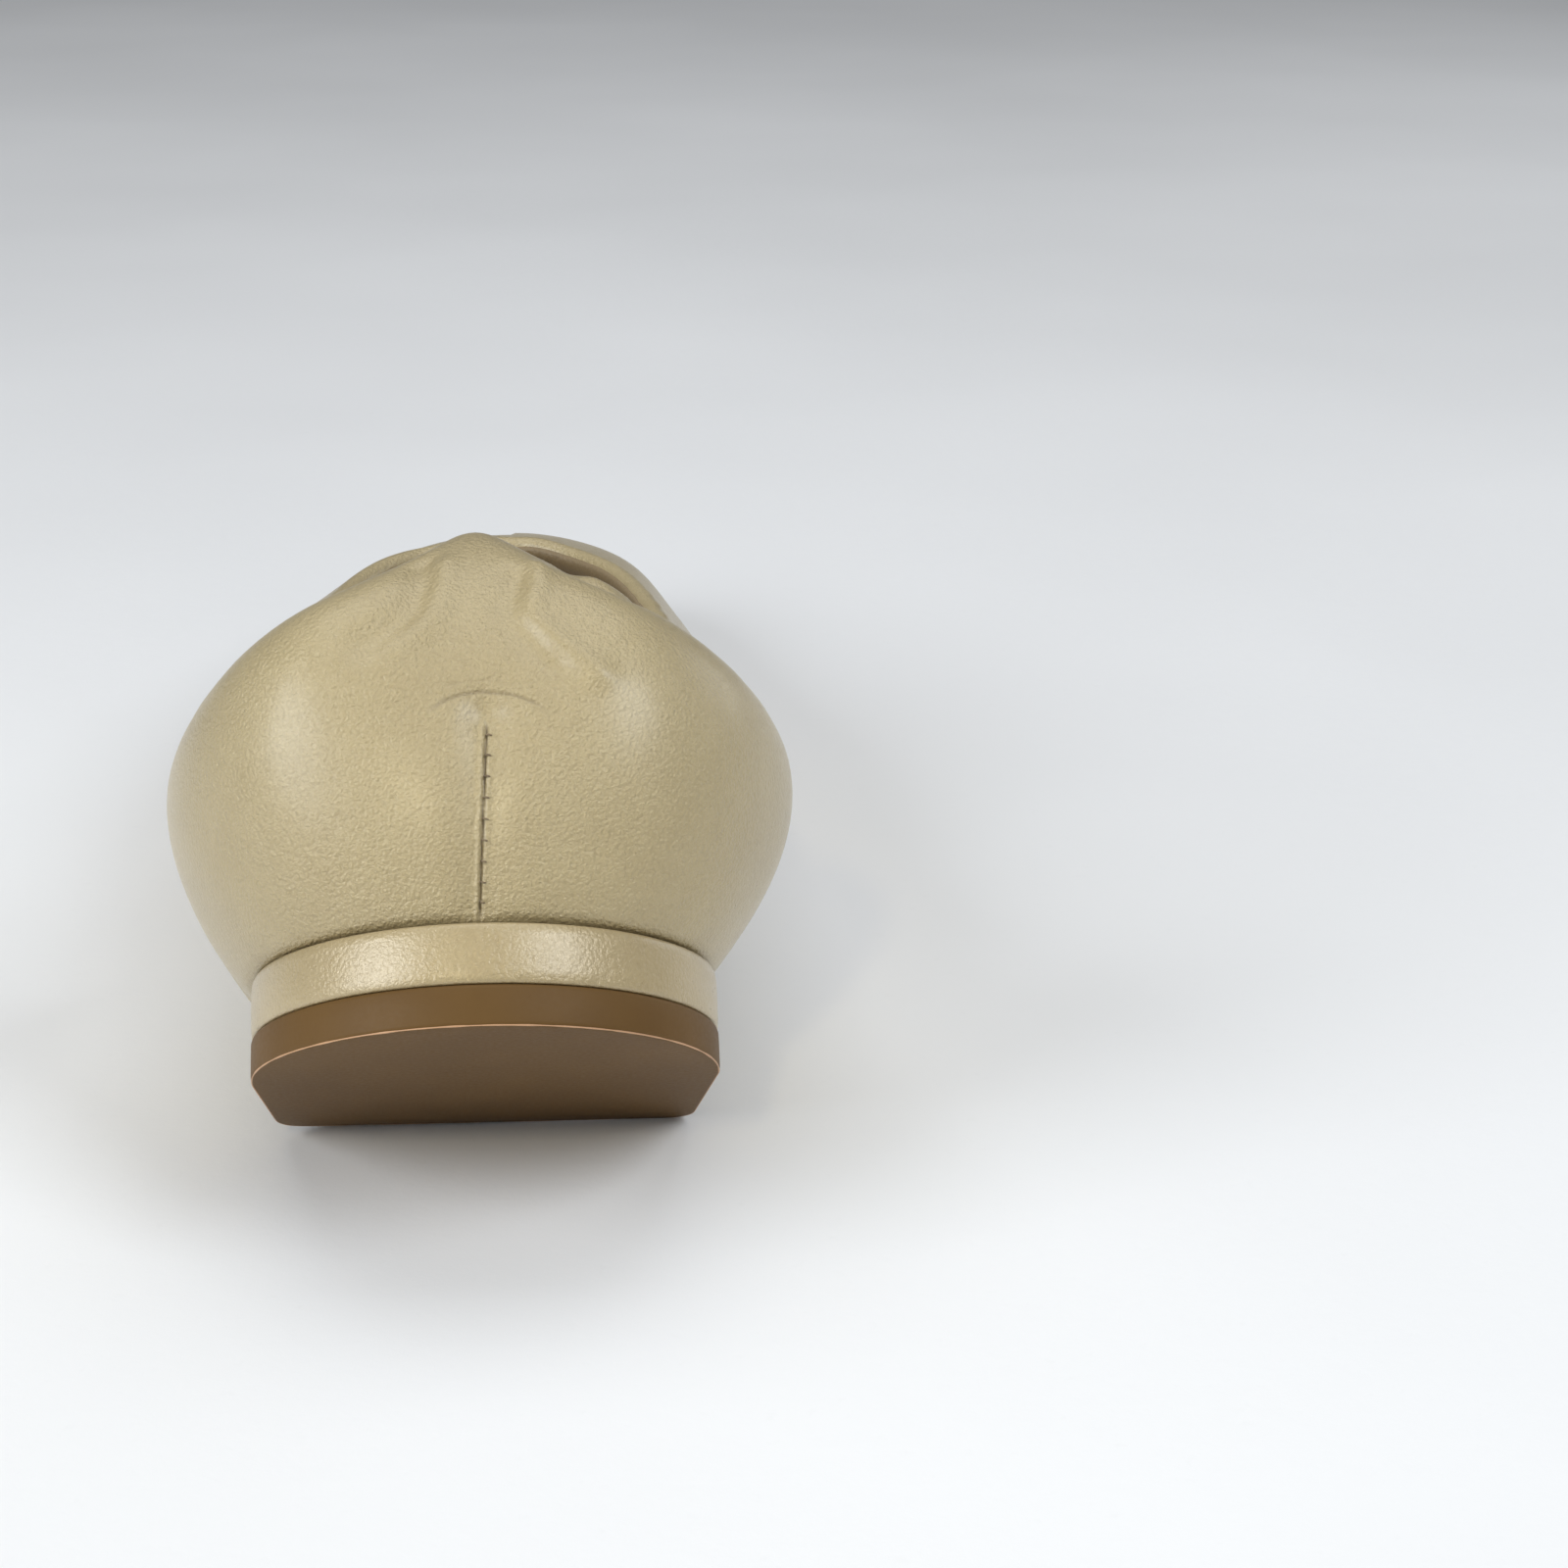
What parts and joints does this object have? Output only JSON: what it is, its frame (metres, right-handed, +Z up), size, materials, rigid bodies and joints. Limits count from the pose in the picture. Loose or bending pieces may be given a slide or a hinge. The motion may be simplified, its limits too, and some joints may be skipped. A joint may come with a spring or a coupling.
{
  "type": "ballet slipper",
  "caption": "Elasticated leather ballet slipper, left foot, lying curled: low wrapped heel, dart at the back, and a heel part that folds straight about the waist.",
  "frame": {"origin": "on the floor, under the middle of the curled slipper's bounding box", "axes": "+X to the inner (medial) side of the foot, +Y from heel to toe, +Z up"},
  "size_m": [0.0772, 0.238, 0.077],
  "materials": {
    "upper_leather": "pale beige fine-grain nappa, faint pearl sheen, semi-matt",
    "heel_leather": "the same nappa stretched over the heel block, slightly shinier",
    "lining_leather": "brown pigskin-like lining, matt",
    "binding_leather": "olive-tan folded leather binding, matt",
    "lift_rubber": "brown rubber top piece, satin side, darker worn face",
    "tread_rubber": "thin brown rubber tread, matt, lightly scuffed",
    "sock_leather": "beige leather footbed, matt, creased by wear",
    "sole_fabric": "tan fabric covering of the flexible waist",
    "fibre_board": "pressed fibre board, matt",
    "foam": "soft latex foam, matt",
    "heel_plastic": "moulded plastic heel block",
    "nail_steel": "bright drawn steel",
    "elastic_tape": "woven elastic tape",
    "stitch_thread": "twisted polyester thread"
  },
  "bodies": {
    "forepart": {"vamp_upper": "upper_leather", "vamp_lining": "lining_leather", "toe_puff": "fibre_board", "throat_elastic": "elastic_tape", "vamp_binding": "binding_leather", "forepart_sock": "sock_leather", "forepart_cushion": "foam", "insole_board_fore": "fibre_board", "sole_cover_fore": "sole_fabric", "tread_pad": "tread_rubber"},
    "heel_part": {"quarter_upper": "upper_leather", "quarter_lining": "lining_leather", "heel_counter": "fibre_board", "heel_elastic": "elastic_tape", "quarter_binding": "binding_leather", "dart_thread": "stitch_thread", "heel_sock": "sock_leather", "heel_pad": "foam", "insole_board_rear": "fibre_board", "sole_cover_rear": "sole_fabric", "top_lift": "lift_rubber", "heel_block": "heel_plastic", "heel_cover": "heel_leather", "heel_nail_1": "nail_steel", "heel_nail_2": "nail_steel", "heel_nail_3": "nail_steel", "heel_nail_4": "nail_steel", "heel_nail_5": "nail_steel"}
  },
  "joints": [
    {"name": "waist_fold", "type": "hinge", "parent": "forepart", "child": "heel_part", "pos_m": [0.00037, -0.06677, 0.00597], "axis": [1, 0, 0], "range_deg": [-12, 42.9], "stiffness_Nm_per_rad": 0.6}
  ]
}
